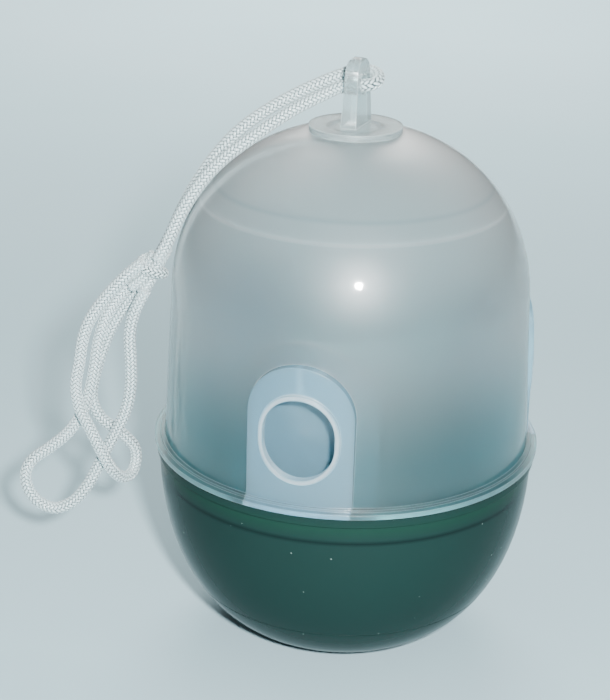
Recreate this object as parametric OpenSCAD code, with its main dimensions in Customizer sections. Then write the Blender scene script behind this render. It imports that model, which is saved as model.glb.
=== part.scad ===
/* [Bowl] */
// Height of the bowl, from the table to the seat of the dome
bowl_h = 66; // [50:1:90]
// Diameter of the bowl just under its rim
bowl_d = 121; // [110:0.5:121]
// Diameter of the flat foot that the trap stands on
foot_d = 30; // [20:1:50]
// Thickness of the bowl's wall
bowl_wall = 1.8; // [1.2:0.1:2]
// How square the bowl's side profile is, where 2 is an ellipse
bowl_square = 2.27; // [2:0.01:2.6]
// Height of the fine groove around the lower bowl
groove_h = 20; // [12:1:30]

/* [Dome] */
// Diameter of the flange that rests on the bowl
flange_d = 124; // [124:0.5:130]
// Thickness of the flange
flange_t = 1.5; // [1.2:0.1:3]
// Diameter of the dome's wall at the flange
dome_base_d = 117.5; // [117:0.1:118]
// Diameter of the dome's wall where the crown begins
dome_top_d = 113; // [111:0.5:116]
// Height at which the crown begins
crown_from = 115; // [105:1:125]
// Height that the crown's curve would reach without the flat seat
crown_h = 169; // [160:0.5:180]
// How square the crown's profile is, where 2 is an ellipse
crown_square = 2.12; // [2:0.01:2.4]
// Thickness of the dome's wall
dome_wall = 1.5; // [1:0.1:2]
// Depth of the skirt that plugs into the bowl
skirt_h = 9; // [6:1:14]

/* [Entrances] */
// Angle of the first entrance from straight ahead
entrance_turn = -14.9; // [-30:0.1:30]
// Number of entrances around the dome
entrance_count = 3; // [3:1:3]
// Width of the oval entrance hole
hole_w = 22; // [16:0.2:24]
// Height of the oval entrance hole
hole_h = 25.4; // [16:0.2:26]
// Height of the hole's centre above the table
hole_z = 89.4; // [84:0.1:92]
// Width of the raised pad around the hole
pad_w = 32.6; // [30:0.2:34]
// Height of the centre of the pad's round top
arch_z = 95.7; // [94:0.1:98]
// Distance of the pad's face from the trap's axis
pad_r = 59.2; // [59:0.1:61]
// How far the collar around the hole stands out from the pad
collar_out = 1; // [0.8:0.1:4]
// Wall of the collar, the hood and the inner flange
insert_wall = 1.4; // [1.2:0.1:1.8]
// How far the inner flange reaches past the pad on each side
lap = 6; // [4:0.5:8]
// Distance of the hood's back wall from the trap's axis
hood_r = 44; // [38:1:48]

/* [Hanger] */
// Diameter of the hanger's disc
disc_d = 28.8; // [24:0.2:30]
// Thickness of the disc
disc_t = 2; // [1.5:0.1:3]
// Height of the lug above the disc
lug_h = 20.6; // [16:0.1:24]
// Width of the lug at its foot
lug_w = 14; // [13:0.5:16]
// Width of the lug at its top
lug_top_w = 11; // [10:0.5:12]
// Thickness of the lug at its foot
lug_t = 5; // [4:0.1:6]
// Thickness of the lug at its top
lug_top_t = 4; // [3:0.1:5]
// Diameter of the eye in the lug
eye_d = 6.4; // [5.5:0.1:7]
// Height of the eye above the disc
eye_h = 12.5; // [12:0.1:14]
// Turn of the lug about the trap's axis
lug_turn = 69; // [69:1:69]
// Diameter of the stem through the crown
stem_d = 18; // [14:0.1:20]

/* [Cord] */
// Diameter of the braided cord
cord_d = 4; // [4:0.1:4]
// Sides of the cord's tube
cord_sides = 8; // [8:1:12]
// Width of the knot
knot_w = 11; // [8:0.5:11]
// Height of the knot along the cord
knot_h = 17; // [12:0.5:18]

/* [Hidden] */
$fn = 96;
// Running gap between the dome and the bowl
gap = 0.1;
// Gap between pieces that are pushed together
snug = 0.05;
// Steps of a curved profile
profile_steps = 20;
dome_seat = bowl_h + gap;
flange_top = dome_seat + flange_t;
skirt_r = dome_base_d / 2 - 0.25;
socket_r = skirt_r + 0.15;
bowl_lip_r = bowl_d / 2 + 0.8;
ledge_r = dome_base_d / 2 + 1.4;
ledge_t = 0.8;
arch_r = pad_w / 2;
lap_r = arch_r + lap;
hole_stretch = (hole_h - hole_w) / 2;
collar_r = pad_r + collar_out;
pad_back = pad_r - 1.6;
// How much of the crown's curve the flat seat takes off the top
seat_part = 0.16;
seat_z = crown_from + (crown_h - crown_from) * pow(cos(90 * seat_part), 2 / crown_square);
disc_z = seat_z + snug;
groove = 0.3;
eye_z = disc_z + disc_t + eye_h;
stem_r = stem_d / 2;
snap_r = stem_r + 0.8;
reach = 200;

// The knot's centre, and its tilt from upright
knot_at = [-63, 0.6, 120.6];
knot_tilt = 24;

// Two legs of the hanging cord: up from the knot, through the eye, round the lug and back down
legs_route = [
    [-60.8, -2.4, 124.8], [-58.2, -2.5, 129.4], [-56, -2.5, 134.4], [-53.8, -2.5, 139.4],
    [-51, -2.5, 144.6], [-47.8, -2.5, 149.6], [-43.8, -2.4, 154.6], [-38.8, -2.2, 159.4],
    [-32.6, -1.8, 164.2], [-25.4, -0.8, 169.4], [-18, 0.6, 174], [-10, 1.8, 178],
    [-5, 1.6, 180.4], [0, 0, 181.4], [2.9, -1, 181.8], [5, -0.7, 182.3], [6.3, 1.1, 182.9],
    [6.4, 3.8, 183.6], [5.4, 6.5, 184.1], [2.6, 8.4, 184.4], [-2.4, 8.6, 183.6], [-12, 6.2, 180.2], [-22, 4.4, 175.4],
    [-30, 3.6, 170.4], [-36.6, 3, 165], [-41.8, 2.6, 159.2], [-46, 2.4, 153.4], [-49.6, 2.2, 147.6],
    [-52.6, 2.2, 141.8], [-55, 2.2, 136.4], [-57.4, 2.3, 130.8], [-60.2, 2.4, 125.4]
];

// Long loop: down the middle of the bunch, out to the left, round and back up on the right
long_route = [
    [-64.6, 2.2, 119.6], [-69.4, 2.2, 115.8], [-75, 2.2, 108.6], [-78.6, 2.4, 101.6],
    [-80.6, 2.4, 94], [-81.8, 2.4, 86.6], [-83.6, 2.4, 78], [-86.4, 2.6, 70], [-91, 2.8, 62.8],
    [-97, 2, 57.6], [-102.4, 1, 53.8], [-105, 0.4, 49.4], [-104.8, 0.2, 44], [-101.6, 0, 38.8],
    [-96, 0, 36.2], [-90, 0.6, 38.4], [-85.6, 1.6, 43.2], [-82, 2.6, 49.6], [-78.8, 2.6, 56.6],
    [-74.8, 1.8, 64.8], [-71.6, 1, 72.6], [-70, 0.4, 81], [-69.8, 0, 90], [-70, -0.4, 98.6],
    [-68.4, -1, 106.6], [-64.6, -1.4, 114.6]
];

// Short loop: down the left of the bunch, across, round a small turn and back up behind
short_route = [
    [-65.4, -2.2, 124], [-70.8, -2.2, 119.2], [-76.6, -2.2, 112.8], [-81.4, -2.2, 106],
    [-84.4, -2.2, 99], [-86, -2.2, 90], [-87.4, -2.2, 81.6], [-86.4, -2.2, 73.8],
    [-83.4, -2.2, 67], [-79.8, -2.2, 58.8], [-76.6, -0.8, 51.6], [-73.6, 3, 46.8],
    [-71, 7.2, 46.2], [-69.8, 10.2, 49.2], [-70, 10.8, 53.8], [-72.4, 9.6, 58], [-76.6, 8, 62.4],
    [-81, 7, 66.8],
    [-83.4, 7, 73], [-82.6, 7, 80.6], [-80.4, 7, 88.6], [-77.6, 6.8, 96.4], [-74, 6.6, 103.4],
    [-70, 6, 109.4], [-65.6, 4.6, 114.4]
];

// A quarter of a superellipse from (r0, z0) out to (r1, z1), or the part of it between two shares
function quarter(r0, z0, r1, z1, square, from = 0, to = 1) =
    [for (i = [0 : profile_steps])
        let (t = 90 * (from + (to - from) * i / profile_steps), p = 2 / square)
        [r0 + (r1 - r0) * pow(sin(t), p), z1 + (z0 - z1) * pow(cos(t), p)]];

function reversed(list) = [for (i = [len(list) - 1 : -1 : 0]) list[i]];

function unit(v) = v / norm(v);

// The direction of a route at one of its points
function heading(route, i) = unit(route[min(i + 1, len(route) - 1)] - route[max(i - 1, 0)]);

// A ring of points around one point of a route, its first corner always towards the same side
function ring(route, i, r, sides) =
    let (
        along = heading(route, i),
        across = unit(cross(along, abs(along[1]) > 0.9 ? [1, 0, 0] : [0, 1, 0])),
        up = cross(across, along)
    )
    [for (k = [0 : sides - 1])
        route[i] + r * (cos(360 * k / sides) * across + sin(360 * k / sides) * up)];

// A closed tube of one cord, swept along its route
module cord_tube(route, d = cord_d, sides = cord_sides) {
    count = len(route);
    points = [for (i = [0 : count - 1]) each ring(route, i, d / 2, sides)];
    walls = [for (i = [0 : count - 2], k = [0 : sides - 1])
        let (a = i * sides + k, b = i * sides + (k + 1) % sides)
        each [[a, b, b + sides], [a, b + sides, a + sides]]];
    ends = [
        [for (k = [sides - 1 : -1 : 0]) k],
        [for (k = [0 : sides - 1]) (count - 1) * sides + k]
    ];
    polyhedron(points, concat(walls, ends));
}

// A ring with a square section
module band(r_in, r_out, z_from, z_to) {
    translate([0, 0, z_from])
        difference() {
            cylinder(h = z_to - z_from, r = r_out);
            translate([0, 0, -1]) cylinder(h = z_to - z_from + 2, r = r_in);
        }
}

// A prism with a round top, standing on z_from and reaching out along -Y from r_in to r_out
module arch(r, z_from, r_in, r_out) {
    translate([0, -r_in, 0])
        rotate([90, 0, 0])
            linear_extrude(r_out - r_in) {
                translate([-r, z_from]) square([2 * r, arch_z - z_from]);
                translate([0, arch_z]) circle(r);
            }
}

// An oval prism along -Y, centred on the entrance hole
module oval(r, r_in, r_out) {
    translate([0, -r_in, hole_z])
        rotate([90, 0, 0])
            linear_extrude(r_out - r_in) {
                for (side = [-1, 1]) translate([0, side * hole_stretch]) circle(r);
                square([2 * r, 2 * hole_stretch], center = true);
            }
}

// Places its children at one of the entrances
module at_entrance(number) {
    rotate([0, 0, entrance_turn + number * 360 / entrance_count]) children();
}

// Radius of the bowl's outer face at a height
function bowl_r(z) =
    let (flat = pow((bowl_h - z) / bowl_h, bowl_square / 2))
    foot_d / 2 + (bowl_d - foot_d) / 2 * pow(1 - flat * flat, 1 / bowl_square);

// Radius of the dome's inner wall at a height
function wall_r(z) =
    dome_base_d / 2 - dome_wall
    - (dome_base_d - dome_top_d) / 2 * (z - flange_top) / (crown_from - flange_top);

module bowl() {
    r = bowl_d / 2;
    foot = foot_d / 2;
    outside = quarter(foot, 0, r, bowl_h, bowl_square, 0.03);
    inside = quarter(foot, bowl_wall, socket_r, bowl_h - skirt_h, bowl_square);
    color([0.03, 0.19, 0.14])
        difference() {
            union() {
                rotate_extrude($fn = 180)
                    polygon(concat([[0, 0], [foot, 0]], outside, [[0, bowl_h]]));
                translate([0, 0, bowl_h - 3]) cylinder(h = 3, r = bowl_lip_r, $fn = 180);
            }
            rotate_extrude($fn = 180)
                polygon(concat([[0, bowl_wall]], inside, [[socket_r, bowl_h + 1], [0, bowl_h + 1]]));
            // The fine groove around the lower bowl
            band(bowl_r(groove_h) - groove, r, groove_h - groove, groove_h);
        }
}

module dome() {
    r_top = dome_top_d / 2;
    stem_hole = stem_r + snug;
    r_in = r_top - dome_wall;
    crown_out = quarter(0, crown_h, r_top, crown_from, crown_square, seat_part);
    crown_in = quarter(0, crown_h - dome_wall, r_in, crown_from, crown_square, seat_part);
    color([0.78, 0.85, 0.86, 0.6])
        difference() {
            rotate_extrude($fn = 180)
                polygon(concat(
                    [[skirt_r - dome_wall, bowl_h - skirt_h], [skirt_r, bowl_h - skirt_h]],
                    [[skirt_r, dome_seat], [flange_d / 2, dome_seat], [flange_d / 2, flange_top]],
                    [[ledge_r, flange_top], [ledge_r, flange_top + ledge_t]],
                    [[dome_base_d / 2, flange_top + ledge_t]],
                    reversed(crown_out),
                    [[stem_hole, seat_z], [stem_hole, crown_in[0][1]]],
                    crown_in,
                    [[wall_r(flange_top), flange_top]]
                ));
            for (number = [0 : entrance_count - 1])
                at_entrance(number) arch(arch_r + snug, bowl_h - skirt_h - 1, hood_r, reach);
        }
}

// A thin shell just inside the dome's wall
module inner_shell(z_from, z_to) {
    rotate_extrude()
        polygon([
            [wall_r(z_from) - gap, z_from], [wall_r(z_to) - gap, z_to],
            [wall_r(z_to) - gap - insert_wall, z_to], [wall_r(z_from) - gap - insert_wall, z_from]
        ]);
}

module entrance() {
    foot = bowl_h - skirt_h;
    arch_top = arch_z + arch_r;
    rib_z = hole_z + hole_h / 2 + insert_wall + 0.4;
    color([0.75, 0.84, 0.88, 0.7])
        difference() {
            union() {
                // The pad's face and the piece of ledge, flange and skirt below it
                intersection() {
                    arch(arch_r, foot, hood_r, reach);
                    union() {
                        band(pad_back, pad_r, dome_seat, arch_z + arch_r + 1);
                        band(skirt_r - dome_wall, flange_d / 2, dome_seat, flange_top);
                        band(skirt_r - dome_wall, skirt_r, foot, flange_top);
                        band(pad_back, ledge_r, dome_seat, flange_top + ledge_t);
                    }
                }
                // The hood's side walls and round top
                intersection() {
                    difference() {
                        arch(arch_r, foot, hood_r, reach);
                        arch(arch_r - insert_wall, foot - 1, hood_r, reach);
                    }
                    union() {
                        translate([0, 0, foot]) cylinder(h = 2 * bowl_h, r = skirt_r);
                        translate([0, 0, dome_seat]) cylinder(h = 2 * bowl_h, r = pad_r - 0.4);
                    }
                }
                // The hood's back wall
                arch(arch_r, foot, hood_r - insert_wall, hood_r);
                // The flange that laps behind the dome's wall
                intersection() {
                    difference() {
                        arch(lap_r, flange_top, hood_r, reach);
                        arch(arch_r - insert_wall, foot, hood_r - 1, reach + 1);
                    }
                    inner_shell(flange_top - 1, arch_z + lap_r + 1);
                }
                // The rib above the hole, and the end of it that stands on the hood
                translate([-1, -pad_back - gap, rib_z]) cube([2, 9, arch_top - rib_z - 0.5]);
                translate([-1, -wall_r(arch_top + 2) + 4 * gap, arch_top - 1]) cube([2, 8, 3.2]);
                // The collar around the hole
                intersection() {
                    oval(hole_w / 2 + insert_wall, pad_back, reach);
                    cylinder(h = reach, r = collar_r);
                }
            }
            oval(hole_w / 2, hood_r + 2, reach);
        }
}

module entrance_front() {
    at_entrance(0) entrance();
}

module entrance_right() {
    at_entrance(1) entrance();
}

module entrance_left() {
    at_entrance(2) entrance();
}

// The lug's broad face: straight sides that lean in, and a half-round top
module lug_face() {
    top_r = lug_top_w / 2;
    polygon([[-lug_w / 2, 0], [lug_w / 2, 0], [top_r, lug_h - top_r], [-top_r, lug_h - top_r]]);
    translate([0, lug_h - top_r]) circle(top_r);
}

// The lug seen on edge, with its top corners taken off
module lug_edge() {
    half = lug_top_t / 2;
    corner = 0.8;
    polygon([
        [-lug_t / 2, 0], [lug_t / 2, 0], [half, lug_h - corner], [half - corner, lug_h],
        [corner - half, lug_h], [-half, lug_h - corner]
    ]);
}

module hanger() {
    lug_z = disc_z + disc_t;
    snap_z = seat_z - dome_wall - 2 * gap;
    color([0.75, 0.82, 0.85, 0.8])
        difference() {
            union() {
                translate([0, 0, disc_z]) cylinder(h = disc_t, r = disc_d / 2);
                translate([0, 0, snap_z - 3]) cylinder(h = disc_z - snap_z + 3, r = stem_r);
                translate([0, 0, snap_z - 1]) cylinder(h = 1, r = snap_r);
                translate([0, 0, snap_z - 3]) cylinder(h = 2, r1 = stem_r - 0.6, r2 = snap_r);
                rotate([0, 0, lug_turn])
                    translate([0, 0, lug_z])
                        intersection() {
                            translate([0, lug_t / 2, 0])
                                rotate([90, 0, 0]) linear_extrude(lug_t) lug_face();
                            translate([-lug_w / 2, 0, 0])
                                rotate([90, 0, 90]) linear_extrude(lug_w) lug_edge();
                        }
            }
            translate([0, 0, snap_z - 4]) cylinder(h = 4, r = stem_r - insert_wall - 1);
            rotate([0, 0, lug_turn])
                translate([0, 0, eye_z])
                    rotate([90, 0, 0]) cylinder(h = 2 * lug_t, d = eye_d, center = true);
        }
}

module cord_legs() {
    color([0.93, 0.95, 0.95]) cord_tube(legs_route);
}

module cord_long_loop() {
    color([0.93, 0.95, 0.95]) cord_tube(long_route);
}

module cord_short_loop() {
    color([0.93, 0.95, 0.95]) cord_tube(short_route);
}

module cord_knot() {
    outline = [for (i = [0 : 12]) [knot_w / 2 * sin(15 * i), -knot_h / 2 * cos(15 * i)]];
    color([0.9, 0.93, 0.93])
        translate(knot_at) rotate([0, knot_tilt, 0]) rotate_extrude($fn = 48) polygon(outline);
}

bowl();
dome();
entrance_front();
entrance_right();
entrance_left();
hanger();
cord_legs();
cord_long_loop();
cord_short_loop();
cord_knot();
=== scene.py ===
import math

import bmesh
import bpy
import numpy as np
from mathutils import Matrix, Vector


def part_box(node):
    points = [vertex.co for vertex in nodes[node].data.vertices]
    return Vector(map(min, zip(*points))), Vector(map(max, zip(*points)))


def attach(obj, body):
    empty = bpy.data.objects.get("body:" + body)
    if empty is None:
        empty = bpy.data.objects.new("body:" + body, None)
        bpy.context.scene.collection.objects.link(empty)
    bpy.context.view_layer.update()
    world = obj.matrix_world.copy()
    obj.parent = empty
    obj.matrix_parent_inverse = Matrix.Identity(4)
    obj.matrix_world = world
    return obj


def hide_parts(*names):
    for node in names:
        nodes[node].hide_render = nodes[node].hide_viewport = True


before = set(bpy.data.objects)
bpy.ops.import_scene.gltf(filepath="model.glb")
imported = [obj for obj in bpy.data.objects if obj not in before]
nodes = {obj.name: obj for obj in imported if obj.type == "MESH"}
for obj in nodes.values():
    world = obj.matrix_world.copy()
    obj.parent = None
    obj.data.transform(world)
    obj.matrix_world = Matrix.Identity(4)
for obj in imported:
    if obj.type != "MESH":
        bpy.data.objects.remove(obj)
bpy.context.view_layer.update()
mm = 0.001
print("frame loaded")

# Camera: close, a little above the trap, with a slight roll
camera = {
    "distance": 0.56206, "elevation": 21.73, "roll": 1.39, "lens": 90.15, "sensor": 36, "clip": (0.05, 40),
    "aside": -0.01384, "below": 0.0951,  # where it aims: beside the axis, and below the top of the hanger
}


def cameraAxes():
    lift, roll = math.radians(camera["elevation"]), math.radians(camera["roll"])
    ahead = Vector((0, math.cos(lift), -math.sin(lift)))
    level = Vector((0, math.sin(lift), math.cos(lift)))
    right = math.cos(roll) * Vector((1, 0, 0)) + math.sin(roll) * level
    up = math.cos(roll) * level - math.sin(roll) * Vector((1, 0, 0))
    return right, up, ahead


def buildCamera():
    right, up, ahead = cameraAxes()
    target = Vector((camera["aside"], 0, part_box("hanger")[1].z - camera["below"]))
    place = target - camera["distance"] * ahead
    data = bpy.data.cameras.new("camera")
    data.lens = camera["lens"]
    data.sensor_width = camera["sensor"]
    data.clip_start, data.clip_end = camera["clip"]
    data.dof.use_dof = False
    lens = bpy.data.objects.new("camera", data)
    bpy.context.scene.collection.objects.link(lens)
    lens.matrix_world = Matrix((
        (right.x, up.x, -ahead.x, place.x),
        (right.y, up.y, -ahead.y, place.y),
        (right.z, up.z, -ahead.z, place.z),
        (0, 0, 0, 1),
    ))
    bpy.context.scene.camera = lens
    return lens


lens = buildCamera()
print("camera set")


# Shader helpers
def newMaterial(name):
    material = bpy.data.materials.new(name)
    material.use_nodes = True
    tree = material.node_tree
    return material, tree.nodes, tree.links, tree.nodes["Principled BSDF"]


def newGroup(name, inputs, outputs):
    group = bpy.data.node_groups.new(name, "ShaderNodeTree")
    for label, kind, value in inputs:
        socket = group.interface.new_socket(label, in_out="INPUT", socket_type=kind)
        if value is not None:
            socket.default_value = value
    for label, kind in outputs:
        group.interface.new_socket(label, in_out="OUTPUT", socket_type=kind)
    source, sink = group.nodes.new("NodeGroupInput"), group.nodes.new("NodeGroupOutput")
    return group, group.nodes, group.links, source, sink


def addNode(owner, kind, **settings):
    node = owner.new(kind)
    for key, value in settings.items():
        setattr(node, key, value)
    return node


def mathNode(owner, links, operation, first, second=None, clamp=False):
    node = addNode(owner, "ShaderNodeMath", operation=operation, use_clamp=clamp)
    for i, value in enumerate((first, second)):
        if value is None:
            continue
        if isinstance(value, (int, float)):
            node.inputs[i].default_value = value
        else:
            links.new(value, node.inputs[i])
    return node.outputs[0]


def lengthOfTwo(owner, links, first, second):
    squares = [mathNode(owner, links, "MULTIPLY", value, value) for value in (first, second)]
    return mathNode(owner, links, "SQRT", mathNode(owner, links, "ADD", *squares))


def mixColour(owner, links, factor, first, second, blend="MIX"):
    node = addNode(owner, "ShaderNodeMix", data_type="RGBA", blend_type=blend)
    for socket, value in ((node.inputs[0], factor), (node.inputs[6], first), (node.inputs[7], second)):
        if isinstance(value, (int, float)):
            socket.default_value = value
        elif isinstance(value, (tuple, list)):
            socket.default_value = (*value[:3], 1)
        else:
            links.new(value, socket)
    return node.outputs[2]


def makeRingGroup():  # a soft line around the trap at one height
    group, inner, links, source, sink = newGroup(
        "ringLine",
        [
            ("Vector", "NodeSocketVector", None), ("Height", "NodeSocketFloat", 0.05),
            ("Width", "NodeSocketFloat", 0.0005),
        ],
        [("Mask", "NodeSocketFloat")],
    )
    split = inner.new("ShaderNodeSeparateXYZ")
    links.new(source.outputs["Vector"], split.inputs[0])
    away = mathNode(inner, links, "SUBTRACT", split.outputs["Z"], source.outputs["Height"])
    away = mathNode(inner, links, "ABSOLUTE", away)
    share = mathNode(inner, links, "DIVIDE", away, source.outputs["Width"], clamp=True)
    links.new(mathNode(inner, links, "SUBTRACT", 1.0, share), sink.inputs["Mask"])
    return group


dust = {"size": 0.06, "leftOut": 0.72, "colour": (0.16, 0.24, 0.22)}


def makeSpeckGroup():  # a speck in the middle of a few of the cells
    group, inner, links, source, sink = newGroup(
        "dustSpecks",
        [
            ("Vector", "NodeSocketVector", None), ("Scale", "NodeSocketFloat", 90.0),
            ("Size", "NodeSocketFloat", 0.04),
        ],
        [("Mask", "NodeSocketFloat")],
    )
    cells = addNode(inner, "ShaderNodeTexVoronoi", feature="F1")
    links.new(source.outputs["Vector"], cells.inputs["Vector"])
    links.new(source.outputs["Scale"], cells.inputs["Scale"])
    near = mathNode(inner, links, "LESS_THAN", cells.outputs["Distance"], source.outputs["Size"])
    few = inner.new("ShaderNodeSeparateColor")
    links.new(cells.outputs["Color"], few.inputs[0])
    chosen = mathNode(inner, links, "GREATER_THAN", few.outputs[0], dust["leftOut"])
    links.new(mathNode(inner, links, "MULTIPLY", near, chosen), sink.inputs["Mask"])
    return group


mould = {
    "waveScale": 22, "waveDetail": 3, "waveHeight": 0.0012,
    "grainScale": 900, "grainDetail": 2, "grainHeight": 0.0001,
    "edgeSamples": 6, "rimGain": 5.0, "ior": 1.49,
}


def makeMouldGroup():  # slow waves, fine grain and rounded edges of a moulded wall
    group, inner, links, source, sink = newGroup(
        "mouldedSurface",
        [
            ("Vector", "NodeSocketVector", None), ("Wave", "NodeSocketFloat", 0.1),
            ("Grain", "NodeSocketFloat", 0.05), ("Edge", "NodeSocketFloat", 0.0003),
        ],
        [("Normal", "NodeSocketVector"), ("Cloud", "NodeSocketFloat"), ("Rim", "NodeSocketFloat")],
    )
    slow = addNode(inner, "ShaderNodeTexNoise")
    slow.inputs["Scale"].default_value = mould["waveScale"]
    slow.inputs["Detail"].default_value = mould["waveDetail"]
    fine = addNode(inner, "ShaderNodeTexNoise")
    fine.inputs["Scale"].default_value = mould["grainScale"]
    fine.inputs["Detail"].default_value = mould["grainDetail"]
    for texture in (slow, fine):
        links.new(source.outputs["Vector"], texture.inputs["Vector"])
    rounded = addNode(inner, "ShaderNodeBevel", samples=mould["edgeSamples"])
    links.new(source.outputs["Edge"], rounded.inputs["Radius"])
    first = inner.new("ShaderNodeBump")
    first.inputs["Distance"].default_value = mould["waveHeight"]
    links.new(slow.outputs["Fac"], first.inputs["Height"])
    links.new(source.outputs["Wave"], first.inputs["Strength"])
    links.new(rounded.outputs["Normal"], first.inputs["Normal"])
    second = inner.new("ShaderNodeBump")
    second.inputs["Distance"].default_value = mould["grainHeight"]
    links.new(fine.outputs["Fac"], second.inputs["Height"])
    links.new(source.outputs["Grain"], second.inputs["Strength"])
    links.new(first.outputs["Normal"], second.inputs["Normal"])
    links.new(second.outputs["Normal"], sink.inputs["Normal"])
    links.new(slow.outputs["Fac"], sink.inputs["Cloud"])
    # Rim: the edges that the bevel rounds; it masks the painted edge glow
    agree = addNode(inner, "ShaderNodeVectorMath", operation="DOT_PRODUCT")
    links.new(rounded.outputs["Normal"], agree.inputs[0])
    links.new(inner.new("ShaderNodeNewGeometry").outputs["Normal"], agree.inputs[1])
    turned = mathNode(inner, links, "SUBTRACT", 1.0, agree.outputs["Value"])
    links.new(mathNode(inner, links, "MULTIPLY", turned, mould["rimGain"], clamp=True), sink.inputs["Rim"])
    return group


ringGroup = makeRingGroup()
speckGroup = makeSpeckGroup()
mouldGroup = makeMouldGroup()


def groupNode(owner, links, group, vector, **values):
    node = owner.new("ShaderNodeGroup")
    node.node_tree = group
    links.new(vector, node.inputs["Vector"])
    for key, value in values.items():
        node.inputs[key].default_value = value
    return node


def moulded(name, look):  # what the four plastics have in common
    material, owner, links, shader = newMaterial(name)
    where = owner.new("ShaderNodeTexCoord").outputs["Object"]
    surface = groupNode(
        owner, links, mouldGroup, where, Wave=look["wave"], Grain=look["grain"], Edge=look["edge"],
    )
    base = mixColour(owner, links, surface.outputs["Cloud"], look["colour"], look["thin"])
    if "specks" in look:
        speck = groupNode(owner, links, speckGroup, where, Scale=look["specks"], Size=dust["size"])
        base = mixColour(owner, links, speck.outputs["Mask"], base, dust["colour"])
    links.new(base, shader.inputs["Base Color"])
    links.new(surface.outputs["Normal"], shader.inputs["Normal"])
    links.new(surface.outputs["Normal"], shader.inputs["Coat Normal"])
    shader.inputs["Roughness"].default_value = look["roughness"]
    shader.inputs["IOR"].default_value = look.get("ior", mould["ior"])
    shader.inputs["Transmission Weight"].default_value = look["clear"]
    shader.inputs["Coat Weight"].default_value = look["coat"]
    shader.inputs["Coat Roughness"].default_value = look["coatRoughness"]
    shader.inputs["Coat IOR"].default_value = mould["ior"]
    return material, owner, links, shader, where, base, surface.outputs["Rim"]


def ringLines(owner, links, where, base, lines):  # returns the last line too
    for height, width, tone in lines:
        line = groupNode(owner, links, ringGroup, where, Height=height, Width=width)
        base = mixColour(owner, links, line.outputs["Mask"], base, tone)
    return base, line


def paintGlow(owner, links, shader, mask, look):  # a painted glow: emission standing in for the light that clear plastic leads out
    glow = mixColour(owner, links, mask, (0, 0, 0), look["glow"])
    links.new(glow, shader.inputs["Emission Color"])
    shader.inputs["Emission Strength"].default_value = look["glowStrength"]


# Cord: three braided stretches and the knot, along the routes of the CAD tubes
def metres(points):
    return [[x * mm, y * mm, z * mm] for x, y, z in points]


legsRoute = metres([
    [-60.8, -2.4, 124.8], [-58.2, -2.5, 129.4], [-56, -2.5, 134.4], [-53.8, -2.5, 139.4],
    [-51, -2.5, 144.6], [-47.8, -2.5, 149.6], [-43.8, -2.4, 154.6], [-38.8, -2.2, 159.4],
    [-32.6, -1.8, 164.2], [-25.4, -0.8, 169.4], [-18, 0.6, 174], [-10, 1.8, 178],
    [-5, 1.6, 180.4], [0, 0, 181.4], [2.9, -1, 181.8], [5, -0.7, 182.3], [6.3, 1.1, 182.9],
    [6.4, 3.8, 183.6], [5.4, 6.5, 184.1], [2.6, 8.4, 184.4], [-2.4, 8.6, 183.6],
    [-12, 6.2, 180.2], [-22, 4.4, 175.4],
    [-30, 3.6, 170.4], [-36.6, 3, 165], [-41.8, 2.6, 159.2], [-46, 2.4, 153.4], [-49.6, 2.2, 147.6],
    [-52.6, 2.2, 141.8], [-55, 2.2, 136.4], [-57.4, 2.3, 130.8], [-60.2, 2.4, 125.4],
])
longRoute = metres([
    [-64.6, 2.2, 119.6], [-69.4, 2.2, 115.8], [-75, 2.2, 108.6], [-78.6, 2.4, 101.6],
    [-80.6, 2.4, 94], [-81.8, 2.4, 86.6], [-83.6, 2.4, 78], [-86.4, 2.6, 70], [-91, 2.8, 62.8],
    [-97, 2, 57.6], [-102.4, 1, 53.8], [-105, 0.4, 49.4], [-104.8, 0.2, 44], [-101.6, 0, 38.8],
    [-96, 0, 36.2], [-90, 0.6, 38.4], [-85.6, 1.6, 43.2], [-82, 2.6, 49.6], [-78.8, 2.6, 56.6],
    [-74.8, 1.8, 64.8], [-71.6, 1, 72.6], [-70, 0.4, 81], [-69.8, 0, 90], [-70, -0.4, 98.6],
    [-68.4, -1, 106.6], [-64.6, -1.4, 114.6],
])
shortRoute = metres([
    [-65.4, -2.2, 124], [-70.8, -2.2, 119.2], [-76.6, -2.2, 112.8], [-81.4, -2.2, 106],
    [-84.4, -2.2, 99], [-86, -2.2, 90], [-87.4, -2.2, 81.6], [-86.4, -2.2, 73.8],
    [-83.4, -2.2, 67], [-79.8, -2.2, 58.8], [-76.6, -0.8, 51.6], [-73.6, 3, 46.8],
    [-71, 7.2, 46.2], [-69.8, 10.2, 49.2], [-70, 10.8, 53.8], [-72.4, 9.6, 58], [-76.6, 8, 62.4],
    [-81, 7, 66.8], [-83.4, 7, 73], [-82.6, 7, 80.6], [-80.4, 7, 88.6], [-77.6, 6.8, 96.4],
    [-74, 6.6, 103.4], [-70, 6, 109.4], [-65.6, 4.6, 114.4],
])
braid = {  # carriers go round each way, so there are twice as many strands
    "diameter": 0.004, "step": 0.0004, "pitch": 0.0112, "carriers": 8, "middle": 0.00143,
    "rise": 0.00027, "crimp": 0.45, "halfWidth": 0.00052, "halfThick": 0.00033, "sides": 6,
    # endFade and evenHeight even out the painted shade between strands near the ends
    "core": 0.00128, "coreSides": 10, "endFade": 0.007, "evenHeight": 0.00187, "smoothing": 24,
}


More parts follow.
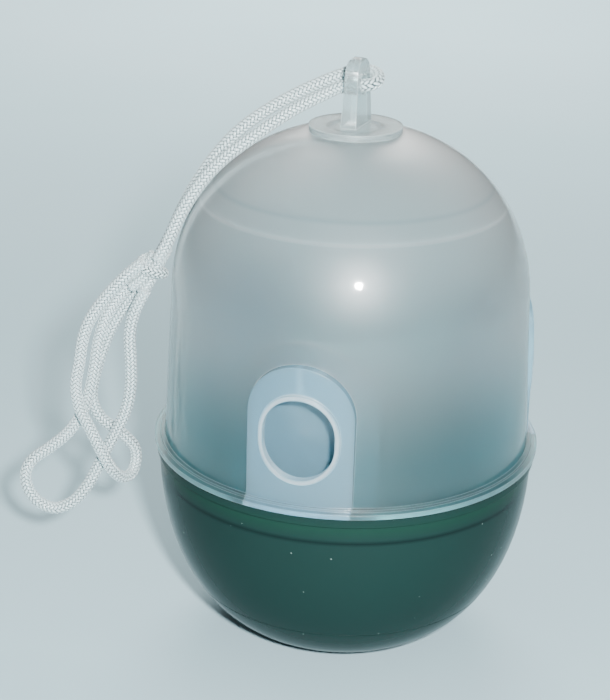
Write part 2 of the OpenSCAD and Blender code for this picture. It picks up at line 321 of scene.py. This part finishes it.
def smoothLine(points, step):  # one smooth curve through the points, cut into even steps
    given = np.array(points, float)
    padded = np.vstack([2 * given[0] - given[1], given, 2 * given[-1] - given[-2]])
    dense = []
    for i in range(len(given) - 1):
        a, b, c, d = padded[i:i + 4]
        t = np.linspace(0, 1, braid["smoothing"], endpoint=False)[:, None]
        bend, twist = 2 * a - 5 * b + 4 * c - d, 3 * b - a - 3 * c + d
        dense.append(0.5 * (2 * b + (c - a) * t + bend * t * t + twist * t ** 3))
    dense = np.vstack([*dense, given[-1:]])
    along = np.concatenate([[0], np.cumsum(np.linalg.norm(np.diff(dense, axis=0), axis=1))])
    count = max(3, int(round(along[-1] / step)) + 1)
    at = np.linspace(0, along[-1], count)
    return np.column_stack([np.interp(at, along, dense[:, k]) for k in range(3)]), at


def framesAlong(line, start):  # directions ahead and across that don't twist
    ahead = np.gradient(line, axis=0)
    ahead /= np.linalg.norm(ahead, axis=1)[:, None]
    side = np.array(start, float)
    across = []
    for direction in ahead:
        side = side - (side @ direction) * direction
        side /= np.linalg.norm(side)
        across.append(side.copy())
    across = np.array(across)
    return across, np.cross(ahead, across)


def tubeMesh(centre, wide, thin, halfWidth, halfThick, sides):  # a closed tube of oval section
    turn = np.arange(sides) * 2 * math.pi / sides
    ring = centre[:, None, :] + np.cos(turn)[None, :, None] * wide[:, None, :] * halfWidth
    ring = ring + np.sin(turn)[None, :, None] * thin[:, None, :] * halfThick
    count = len(centre)
    faces = []
    for i in range(count - 1):
        a, b = i * sides, (i + 1) * sides
        faces += [(a + k, a + (k + 1) % sides, b + (k + 1) % sides, b + k) for k in range(sides)]
    faces.append(tuple(range(sides - 1, -1, -1)))
    faces.append(tuple((count - 1) * sides + k for k in range(sides)))
    return ring, faces


def braidedParts(points, scale=1.0, start=(0.0, -1.0, 0.0), phase=0.0):
    line, at = smoothLine(points, braid["step"])
    first, second = framesAlong(line, start)
    core = braid["core"] * scale
    halfWidth, halfThick = braid["halfWidth"] * scale, braid["halfThick"] * scale
    tubes = [tubeMesh(line, first, second, core, core, braid["coreSides"])]
    for way in (1, -1):
        for k in range(braid["carriers"]):
            turn = way * 2 * math.pi * at / (braid["pitch"] * scale) + 2 * math.pi * k / braid["carriers"]
            if way < 0:
                turn = turn + math.pi / braid["carriers"]
            out = np.cos(turn + phase)[:, None] * first + np.sin(turn + phase)[:, None] * second
            wave = np.cos(braid["carriers"] / 2 * turn)  # over two, under two
            wave = wave * (1 + braid["crimp"] - braid["crimp"] * wave * wave)
            radius = scale * (braid["middle"] + way * braid["rise"] * wave)
            centre = line + out * radius[:, None]
            going = np.gradient(centre, axis=0)
            going /= np.linalg.norm(going, axis=1)[:, None]
            wide = np.cross(going, out)
            wide /= np.linalg.norm(wide, axis=1)[:, None]
            thin = np.cross(wide, going)
            tubes.append(tubeMesh(centre, wide, thin, halfWidth, halfThick, braid["sides"]))
    parts = []
    nearEnd = np.clip(1 - np.minimum(at, at[-1] - at) / braid["endFade"], 0, 1)[:, None]
    for ring, faces in tubes:  # each point keeps its height above the cord's middle, which sets the painted shade between the strands; evened out at the ends
        height = np.linalg.norm(ring - line[:, None, :], axis=2) / scale
        height = height * (1 - nearEnd) + braid["evenHeight"] * nearEnd
        parts.append((ring.reshape(-1, 3), faces, height.reshape(-1)))
    return parts, line


def meshFrom(name, parts, material):
    points, faces, heights, base = [], [], [], 0
    for partPoints, partFaces, partHeights in parts:
        points.append(partPoints)
        heights.append(partHeights)
        faces += [tuple(i + base for i in face) for face in partFaces]
        base += len(partPoints)
    mesh = bpy.data.meshes.new(name)
    mesh.from_pydata(np.vstack(points).tolist(), [], faces)
    mesh.update()
    work = bmesh.new()
    work.from_mesh(mesh)
    bmesh.ops.recalc_face_normals(work, faces=work.faces)
    work.to_mesh(mesh)
    work.free()
    mesh.shade_smooth()
    # the height sets the painted shade between the strands and the painted light on their tops
    height = mesh.attributes.new("height", "FLOAT", "POINT")
    height.data.foreach_set("value", np.concatenate(heights))
    piece = bpy.data.objects.new(name, mesh)
    bpy.context.scene.collection.objects.link(piece)
    mesh.materials.append(material)
    return piece


cord = {
    # painted shade deep between the strands, painted light on their tops, chosen by the height attribute
    "deep": (0.03, 0.065, 0.07), "top": (0.56, 0.7, 0.72), "deepHeight": 0.00165, "topHeight": 0.00198,
    "fibreScale": 2600, "fibreDetail": 2, "fibreShare": 0.12, "bump": 0.25, "bumpHeight": 0.0001,
    "roughness": 0.22, "specular": 0.8, "sheen": 0.25, "sheenRoughness": 0.4,
    "scatter": 0.15, "scatterScale": 0.6,
}


def cordMaterial():  # painted shade between the strands, painted light on top of them
    material, owner, links, shader = newMaterial("braidedCord")
    where = owner.new("ShaderNodeTexCoord").outputs["Object"]
    fibre = addNode(owner, "ShaderNodeTexNoise")
    fibre.inputs["Scale"].default_value = cord["fibreScale"]
    fibre.inputs["Detail"].default_value = cord["fibreDetail"]
    links.new(where, fibre.inputs["Vector"])
    height = addNode(owner, "ShaderNodeAttribute", attribute_name="height").outputs["Fac"]
    lit = addNode(owner, "ShaderNodeMapRange", interpolation_type="SMOOTHSTEP")
    lit.inputs["From Min"].default_value = cord["deepHeight"]
    lit.inputs["From Max"].default_value = cord["topHeight"]
    links.new(height, lit.inputs["Value"])
    tone = mixColour(owner, links, lit.outputs["Result"], cord["deep"], cord["top"])
    tone = mixColour(owner, links, cord["fibreShare"], tone, fibre.outputs["Color"], "OVERLAY")
    links.new(tone, shader.inputs["Base Color"])
    bump = owner.new("ShaderNodeBump")
    bump.inputs["Strength"].default_value = cord["bump"]
    bump.inputs["Distance"].default_value = cord["bumpHeight"]
    links.new(fibre.outputs["Fac"], bump.inputs["Height"])
    links.new(bump.outputs["Normal"], shader.inputs["Normal"])
    shader.inputs["Roughness"].default_value = cord["roughness"]
    shader.inputs["Specular IOR Level"].default_value = cord["specular"]
    shader.inputs["Sheen Weight"].default_value = cord["sheen"]
    shader.inputs["Sheen Roughness"].default_value = cord["sheenRoughness"]
    shader.inputs["Subsurface Weight"].default_value = cord["scatter"]
    shader.inputs["Subsurface Radius"].default_value = (0.001, 0.001, 0.001)
    shader.inputs["Subsurface Scale"].default_value = cord["scatterScale"]
    return material


white = cordMaterial()


def buildCord(name, route, node, phase=0.0):
    parts, line = braidedParts(route, phase=phase)
    piece = meshFrom(name, parts, white)
    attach(piece, "hanger")
    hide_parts(node)
    return piece, line


knotShape = {  # the wrap's sizes are in millimetres, its angles in degrees
    "centre": (-0.063, 0.0006, 0.1206), "tilt": 24, "wrapScale": 0.9, "strandScale": 0.92,
    "wrapWide": 3.9, "wrapDeep": 3.5, "wrapLow": -3.4, "wrapRise": 6.6, "wrapLean": 1.2,
    "wrapFrom": 200, "wrapStep": 25, "wrapSteps": 18,
}


def buildKnot():  # the cord wrapped a turn and a quarter around four strands
    tilt = math.radians(knotShape["tilt"])
    up = np.array((math.sin(tilt), 0, math.cos(tilt)))
    aside = np.array((math.cos(tilt), 0, -math.sin(tilt)))
    deep = np.array((0.0, 1.0, 0.0))
    centre = np.array(knotShape["centre"])

    def at(u, v, w):
        return list(centre + (aside * u + deep * v + up * w) * mm)

    wrap = []
    for i in range(knotShape["wrapSteps"] + 1):
        turn = math.radians(knotShape["wrapFrom"] - knotShape["wrapStep"] * i)
        rise = knotShape["wrapLow"] + knotShape["wrapRise"] * i / knotShape["wrapSteps"]
        wrap.append(at(
            knotShape["wrapWide"] * math.cos(turn), knotShape["wrapDeep"] * math.sin(turn),
            rise + knotShape["wrapLean"] * math.cos(turn),
        ))
    through = [
        [
            at(1.6, -2.2, 8.2), at(1.2, -2.3, 4.5), at(0.2, -2.1, 0.6), at(-1.4, -1.8, -3.4),
            at(-3.6, -1.6, -7.6),
        ],
        [at(2.0, 2.2, 8.2), at(1.4, 2.2, 4.2), at(0.6, 2.0, 0), at(-0.4, 1.8, -4), at(-1.6, 1.6, -8)],
        [at(-1.2, 0, 5.6), at(-1.5, 0, 2), at(-2, 0, -2), at(-3, 0.3, -6.6)],
        [at(1.4, 0.2, 3.4), at(1.4, 0, 0), at(1.0, -0.4, -4), at(0.4, -1.2, -8)],
    ]
    parts = braidedParts(wrap, knotShape["wrapScale"], (0.0, 0.0, 1.0))[0]
    for route in through:
        parts += braidedParts(route, knotShape["strandScale"])[0]
    piece = meshFrom("cordKnot", parts, white)
    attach(piece, "hanger")
    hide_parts("cord_knot")
    return piece


knot = buildKnot()
legs, legsLine = buildCord("cordLegs", legsRoute, "cord_legs")
longLoop, longLine = buildCord("cordLongLoop", longRoute, "cord_long_loop", 0.4)
shortLoop, shortLine = buildCord("cordShortLoop", shortRoute, "cord_short_loop", 0.2)

# Dome: frosted natural polypropylene, glossy outside and cloudy through its wall
dome = {
    "colour": (0.92, 0.965, 0.965), "thin": (0.89, 0.95, 0.955), "roughness": 0.42, "clear": 0.966,
    "wave": 0.05, "grain": 0.05, "edge": 0.0005, "coat": 0.8, "coatRoughness": 0.07, "specular": 0.15,
    "paintedBowlShade": (0.17, 0.54, 0.6), "lowFrom": 0.114, "lowFull": 0.078,  # painted shade: darker teal low on the dome, where the dark bowl shows through the wall
    # painted shade and highlight of the shoulder step: a darker line at 151.5 mm, a white line at 146 mm
    "stepShadeAndHighlight": ((0.1515, 0.0009, (0.7, 0.8, 0.82)), (0.146, 0.0007, (1.0, 1.0, 1.0))),
    # painted glow: emission on the rounded edges and on the white step line
    "stepGlow": 0.28, "glow": (0.75, 0.9, 0.93), "glowStrength": 0.5,
}


def domeMaterial():
    material, owner, links, shader, where, base, rim = moulded("frostedDome", dome)
    split = owner.new("ShaderNodeSeparateXYZ")
    links.new(where, split.inputs[0])
    # painted shade: the dome turns darker teal towards the bottom, for the dark bowl seen through the wall
    deep = addNode(owner, "ShaderNodeMapRange", interpolation_type="SMOOTHSTEP")
    deep.inputs["From Min"].default_value = dome["lowFrom"]
    deep.inputs["From Max"].default_value = dome["lowFull"]
    links.new(split.outputs["Z"], deep.inputs["Value"])
    base = mixColour(owner, links, deep.outputs["Result"], base, dome["paintedBowlShade"])
    # painted shade and highlight lines at the shoulder step
    base, line = ringLines(owner, links, where, base, dome["stepShadeAndHighlight"])
    links.new(base, shader.inputs["Base Color"])
    shader.inputs["Specular IOR Level"].default_value = dome["specular"]
    # painted glow on the rounded edges and the white step line
    faint = mathNode(owner, links, "MULTIPLY", line.outputs["Mask"], dome["stepGlow"])
    bright = mathNode(owner, links, "MAXIMUM", rim, faint)
    paintGlow(owner, links, shader, bright, dome)
    return material


# Entrances: the same plastic, thicker and bluer to look at
entrance = {
    "colour": (0.38, 0.68, 0.83), "thin": (0.34, 0.64, 0.79), "roughness": 0.34, "clear": 0.82,
    "wave": 0.06, "grain": 0.08, "edge": 0.0006, "coat": 0.6, "coatRoughness": 0.15,
    # painted light: a lighter collar ring around each hole; painted shade: a darker blue-grey lap beyond the
    # pad
    "ring": (0.92, 0.98, 1.0), "lap": (0.16, 0.42, 0.5),
    "turn": -14.9, "count": 3, "holeHeight": 0.0894, "holeWide": 0.011, "holeTall": 0.0127,
    "collarMiddle": 1.07, "collarHalf": 0.1, "collarFrom": 0.0545,  # the first two are shares of the hole
    "archHeight": 0.0957, "padHalf": 0.0165, "lapFade": 0.0005,
    # painted glow: on the rib above each hole, the collar ring and the rounded edges
    "ribFrom": 0.1035, "ribHalf": 0.0016, "ribGlow": 0.45, "glow": (0.6, 0.85, 0.97), "glowStrength": 0.3,
}


def makeHoleGroup():  # marks the collar around each hole and the rib above the hole, for painted light, and the lap beyond the pad, for painted shade
    group, inner, links, source, sink = newGroup(
        "holeCollar",
        [
            ("Vector", "NodeSocketVector", None), ("Turn", "NodeSocketFloat", 0.0),
            ("Height", "NodeSocketFloat", 0.09), ("Wide", "NodeSocketFloat", 0.011),
            ("Tall", "NodeSocketFloat", 0.012),
        ],
        [("Mask", "NodeSocketFloat"), ("Lap", "NodeSocketFloat"), ("Rib", "NodeSocketFloat")],
    )
    split = inner.new("ShaderNodeSeparateXYZ")
    links.new(source.outputs["Vector"], split.inputs[0])
    x, y, z = split.outputs
    angle = mathNode(inner, links, "ARCTAN2", x, mathNode(inner, links, "MULTIPLY", y, -1.0))
    angle = mathNode(inner, links, "SUBTRACT", angle, source.outputs["Turn"])
    apart = 2 * math.pi / entrance["count"]
    near = mathNode(inner, links, "ROUND", mathNode(inner, links, "DIVIDE", angle, apart))
    angle = mathNode(inner, links, "SUBTRACT", angle, mathNode(inner, links, "MULTIPLY", near, apart))
    reach = lengthOfTwo(inner, links, x, y)
    across = mathNode(inner, links, "MULTIPLY", reach, mathNode(inner, links, "SINE", angle))
    crown = mathNode(inner, links, "SUBTRACT", z, entrance["archHeight"])
    crown = mathNode(inner, links, "MAXIMUM", crown, 0.0)
    beyond = lengthOfTwo(inner, links, across, crown)
    beyond = mathNode(inner, links, "SUBTRACT", beyond, entrance["padHalf"])
    # the lap beyond the pad, where painted shade goes
    lap = mathNode(inner, links, "DIVIDE", beyond, entrance["lapFade"], clamp=True)
    links.new(lap, sink.inputs["Lap"])
    beside = mathNode(inner, links, "ABSOLUTE", across)
    beside = mathNode(inner, links, "DIVIDE", beside, entrance["ribHalf"], clamp=True)
    above = mathNode(inner, links, "GREATER_THAN", z, entrance["ribFrom"])
    rib = mathNode(inner, links, "MULTIPLY", above, mathNode(inner, links, "SUBTRACT", 1.0, beside))
    links.new(rib, sink.inputs["Rib"])
    across = mathNode(inner, links, "DIVIDE", across, source.outputs["Wide"])
    rise = mathNode(inner, links, "SUBTRACT", z, source.outputs["Height"])
    rise = mathNode(inner, links, "DIVIDE", rise, source.outputs["Tall"])
    away = lengthOfTwo(inner, links, across, rise)
    away = mathNode(inner, links, "SUBTRACT", away, entrance["collarMiddle"])
    away = mathNode(inner, links, "ABSOLUTE", away)
    share = mathNode(inner, links, "DIVIDE", away, entrance["collarHalf"], clamp=True)
    ahead = mathNode(inner, links, "MULTIPLY", reach, mathNode(inner, links, "COSINE", angle))
    outer = mathNode(inner, links, "GREATER_THAN", ahead, entrance["collarFrom"])
    share = mathNode(inner, links, "MULTIPLY", outer, mathNode(inner, links, "SUBTRACT", 1.0, share))
    links.new(share, sink.inputs["Mask"])
    return group


holeGroup = makeHoleGroup()


def entranceMaterial():
    material, owner, links, shader, where, base, rim = moulded("entrancePlastic", entrance)
    collar = groupNode(
        owner, links, holeGroup, where, Turn=math.radians(entrance["turn"]), Height=entrance["holeHeight"],
        Wide=entrance["holeWide"], Tall=entrance["holeTall"],
    )
    # painted light: the collar ring lighter
    base = mixColour(owner, links, collar.outputs["Mask"], base, entrance["ring"])
    # painted shade: the lap darker blue-grey
    base = mixColour(owner, links, collar.outputs["Lap"], base, entrance["lap"])
    links.new(base, shader.inputs["Base Color"])
    # painted glow on the collar, the rounded edges and the rib, and none on the lap
    bright = mathNode(owner, links, "MAXIMUM", collar.outputs["Mask"], rim)
    faint = mathNode(owner, links, "MULTIPLY", collar.outputs["Rib"], entrance["ribGlow"])
    bright = mathNode(owner, links, "MAXIMUM", bright, faint)
    bright = mathNode(owner, links, "SUBTRACT", bright, collar.outputs["Lap"], clamp=True)
    paintGlow(owner, links, shader, bright, entrance)
    return material


# Bowl: dark green, glossy, a little dusty, with a greener band and a dark line of painted shade under the rim
bowl = {
    "colour": (0.0085, 0.024, 0.0215), "thin": (0.0095, 0.028, 0.025), "roughness": 0.2, "clear": 0.0,
    "wave": 0.08, "grain": 0.1, "edge": 0.0003, "coat": 0.0, "coatRoughness": 0.08,
    "ior": 1.12, "specks": 260.0,
    # a greener band, and a darker line of painted shade under the rim
    "bandAndRimShade": ((0.0615, 0.0034, (0.0085, 0.033, 0.024)), (0.0572, 0.0011, (0.0045, 0.013, 0.0125))),
}


def bowlMaterial():
    material, owner, links, shader, where, base = moulded("greenBowl", bowl)[:6]
    base = ringLines(owner, links, where, base, bowl["bandAndRimShade"])[0]
    links.new(base, shader.inputs["Base Color"])
    return material


# Hanger: the same natural plastic, solid in the lug, with a painted glow on its rounded edges
hanger = {
    "colour": (0.82, 0.97, 0.98), "thin": (0.77, 0.93, 0.95), "roughness": 0.24, "clear": 0.84,
    "wave": 0.08, "grain": 0.08, "edge": 0.0006, "coat": 0.6, "coatRoughness": 0.1,
    "glow": (0.8, 0.93, 0.95), "glowStrength": 0.5,
}


def hangerMaterial():
    material, owner, links, shader, where, base, rim = moulded("hangerPlastic", hanger)
    # painted glow on the rounded edges
    paintGlow(owner, links, shader, rim, hanger)
    return material


soften = {"weld": 0.000002, "crease": 24}  # metres, and degrees over which an edge stays sharp


def makeSoftenTree():  # smooth shading of its own for the nodes from the frame
    tree = bpy.data.node_groups.new("softenShading", "GeometryNodeTree")
    for way in ("INPUT", "OUTPUT"):
        tree.interface.new_socket("Geometry", in_out=way, socket_type="NodeSocketGeometry")
    inner, links = tree.nodes, tree.links
    merge = inner.new("GeometryNodeMergeByDistance")
    merge.inputs["Distance"].default_value = soften["weld"]
    plain = inner.new("GeometryNodeRemoveAttribute")
    plain.inputs["Name"].default_value = "custom_normal"
    smooth = addNode(inner, "GeometryNodeSetShadeSmooth", domain="FACE")
    crease = addNode(inner, "GeometryNodeSetShadeSmooth", domain="EDGE")
    sharp = addNode(inner, "FunctionNodeCompare", data_type="FLOAT", operation="GREATER_THAN")
    sharp.inputs["B"].default_value = math.radians(soften["crease"])
    links.new(inner.new("GeometryNodeInputMeshEdgeAngle").outputs["Unsigned Angle"], sharp.inputs["A"])
    links.new(sharp.outputs["Result"], crease.inputs["Selection"])
    crease.inputs["Shade Smooth"].default_value = False
    way = inner.new("NodeGroupInput").outputs["Geometry"]
    for step in (merge, plain, smooth, crease):
        links.new(way, step.inputs["Geometry"])
        way = step.outputs["Geometry"]
    links.new(way, inner.new("NodeGroupOutput").inputs["Geometry"])
    return tree


softenTree = makeSoftenTree()


def finishNode(name, material):
    node = nodes[name]
    node.modifiers.new("softenShading", "NODES").node_group = softenTree
    node.data.materials.clear()
    node.data.materials.append(material)


finishNode("dome", domeMaterial())
insertPlastic = entranceMaterial()
for name in ("entrance_front", "entrance_right", "entrance_left"):
    finishNode(name, insertPlastic)
finishNode("bowl", bowlMaterial())
finishNode("hanger", hangerMaterial())
print("plastics set")


# Floor and light
ground = {
    "half": 4, "squares": 8, "colour": (0.38, 0.56, 0.62), "light": (0.42, 0.6, 0.66), "cloudScale": 6,
    "roughness": 0.6,
}
lamps = {  # place, aim, size across, power and colour; the flash is set beside the camera
    "flash": (None, (-0.01, 0, 0.09), 0.034, 10, (1.0, 1.0, 1.0)),
    "soft": ((-0.5, 0.5, 1.3), (0, 0, 0.08), 1.0, 5, (0.97, 0.99, 1.0)),
    "fill": ((0.9, 0.5, 0.9), (0, 0, 0.08), 0.9, 3, (0.95, 0.98, 1.0)),
    "back": ((0.05, 1.2, 0.9), (0.05, 1.15, 0), 0.9, 34, (1.0, 0.96, 0.93)),
}
flashAside, flashAbove = 0.048, 0.03  # from the camera
sky = {"colour": (0.8, 0.86, 0.88, 1), "strength": 0.2}


def buildFloor():
    work = bmesh.new()
    squares = ground["squares"]
    bmesh.ops.create_grid(work, x_segments=squares, y_segments=squares, size=ground["half"])
    mesh = bpy.data.meshes.new("floor")
    work.to_mesh(mesh)
    work.free()
    floor = bpy.data.objects.new("floor", mesh)
    bpy.context.scene.collection.objects.link(floor)
    material, owner, links, shader = newMaterial("paleFloor")
    where = owner.new("ShaderNodeTexCoord").outputs["Object"]
    cloud = addNode(owner, "ShaderNodeTexNoise")
    cloud.inputs["Scale"].default_value = ground["cloudScale"]
    links.new(where, cloud.inputs["Vector"])
    tone = mixColour(owner, links, cloud.outputs["Fac"], ground["colour"], ground["light"])
    links.new(tone, shader.inputs["Base Color"])
    shader.inputs["Roughness"].default_value = ground["roughness"]
    mesh.materials.append(material)


def addLight(name, place, towards, size, power, colour):
    data = bpy.data.lights.new(name, "AREA")
    data.shape = "DISK"
    data.size = size
    data.energy = power
    data.color = colour
    light = bpy.data.objects.new(name, data)
    bpy.context.scene.collection.objects.link(light)
    light.location = place
    light.rotation_mode = "QUATERNION"
    light.rotation_quaternion = (Vector(towards) - Vector(place)).to_track_quat("-Z", "Y")
    light.visible_glossy = name == "flash"  # only the flash shows as a highlight
    light.visible_camera = False


buildFloor()
right, up = cameraAxes()[:2]
flashPlace = lens.matrix_world.translation + flashAside * right + flashAbove * up
for name, (place, *settings) in lamps.items():
    addLight(name, place or flashPlace, *settings)
world = bpy.data.worlds.new("world")
world.use_nodes = True
background = world.node_tree.nodes["Background"]
background.inputs["Color"].default_value = sky["colour"]
background.inputs["Strength"].default_value = sky["strength"]
bpy.context.scene.world = world
print("stage set")
